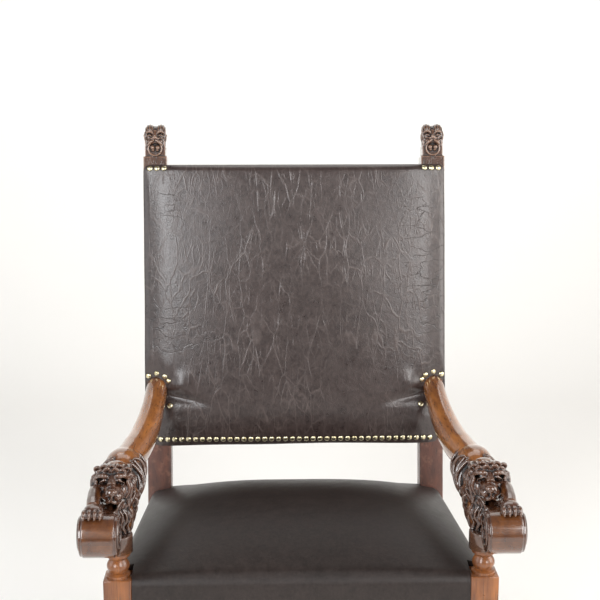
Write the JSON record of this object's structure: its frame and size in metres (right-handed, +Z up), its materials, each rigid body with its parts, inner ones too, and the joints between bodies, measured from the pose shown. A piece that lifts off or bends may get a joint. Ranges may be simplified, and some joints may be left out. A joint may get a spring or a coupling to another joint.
{
  "type": "throne armchair",
  "caption": "High-backed throne armchair in carved walnut and nailed dark leather, with lion arm ends, lion-mask finials and turned legs, for one sitter.",
  "frame": {"origin": "on the floor, under the middle of the chair's box", "axes": "+Z up, -Y the way the chair faces, +X to the right as seen from the front"},
  "size_m": [0.704, 0.6496, 1.14],
  "materials": {
    "dull_walnut": "waxed walnut, dull reddish brown, worn",
    "polished_walnut": "polished walnut, orange brown with a soft shine",
    "carved_walnut": "carved walnut, polished on the ridges and nearly black in the hollows",
    "brown_leather": "dark aubergine-brown grained leather, creased and cracked, with a soft sheen"
  },
  "bodies": {
    "root": {"left_rear_post": "dull_walnut", "right_rear_post": "dull_walnut", "left_front_post": "polished_walnut", "right_front_post": "polished_walnut", "left_arm": "carved_walnut", "right_arm": "carved_walnut", "front_seat_rail": "dull_walnut", "back_seat_rail": "dull_walnut", "left_seat_rail": "dull_walnut", "right_seat_rail": "dull_walnut", "back_top_rail": "dull_walnut", "back_bottom_rail": "dull_walnut", "left_stretcher": "polished_walnut", "right_stretcher": "polished_walnut", "cross_stretcher": "polished_walnut", "back_upholstery": "brown_leather", "seat_upholstery": "brown_leather"}
  },
  "joints": []
}
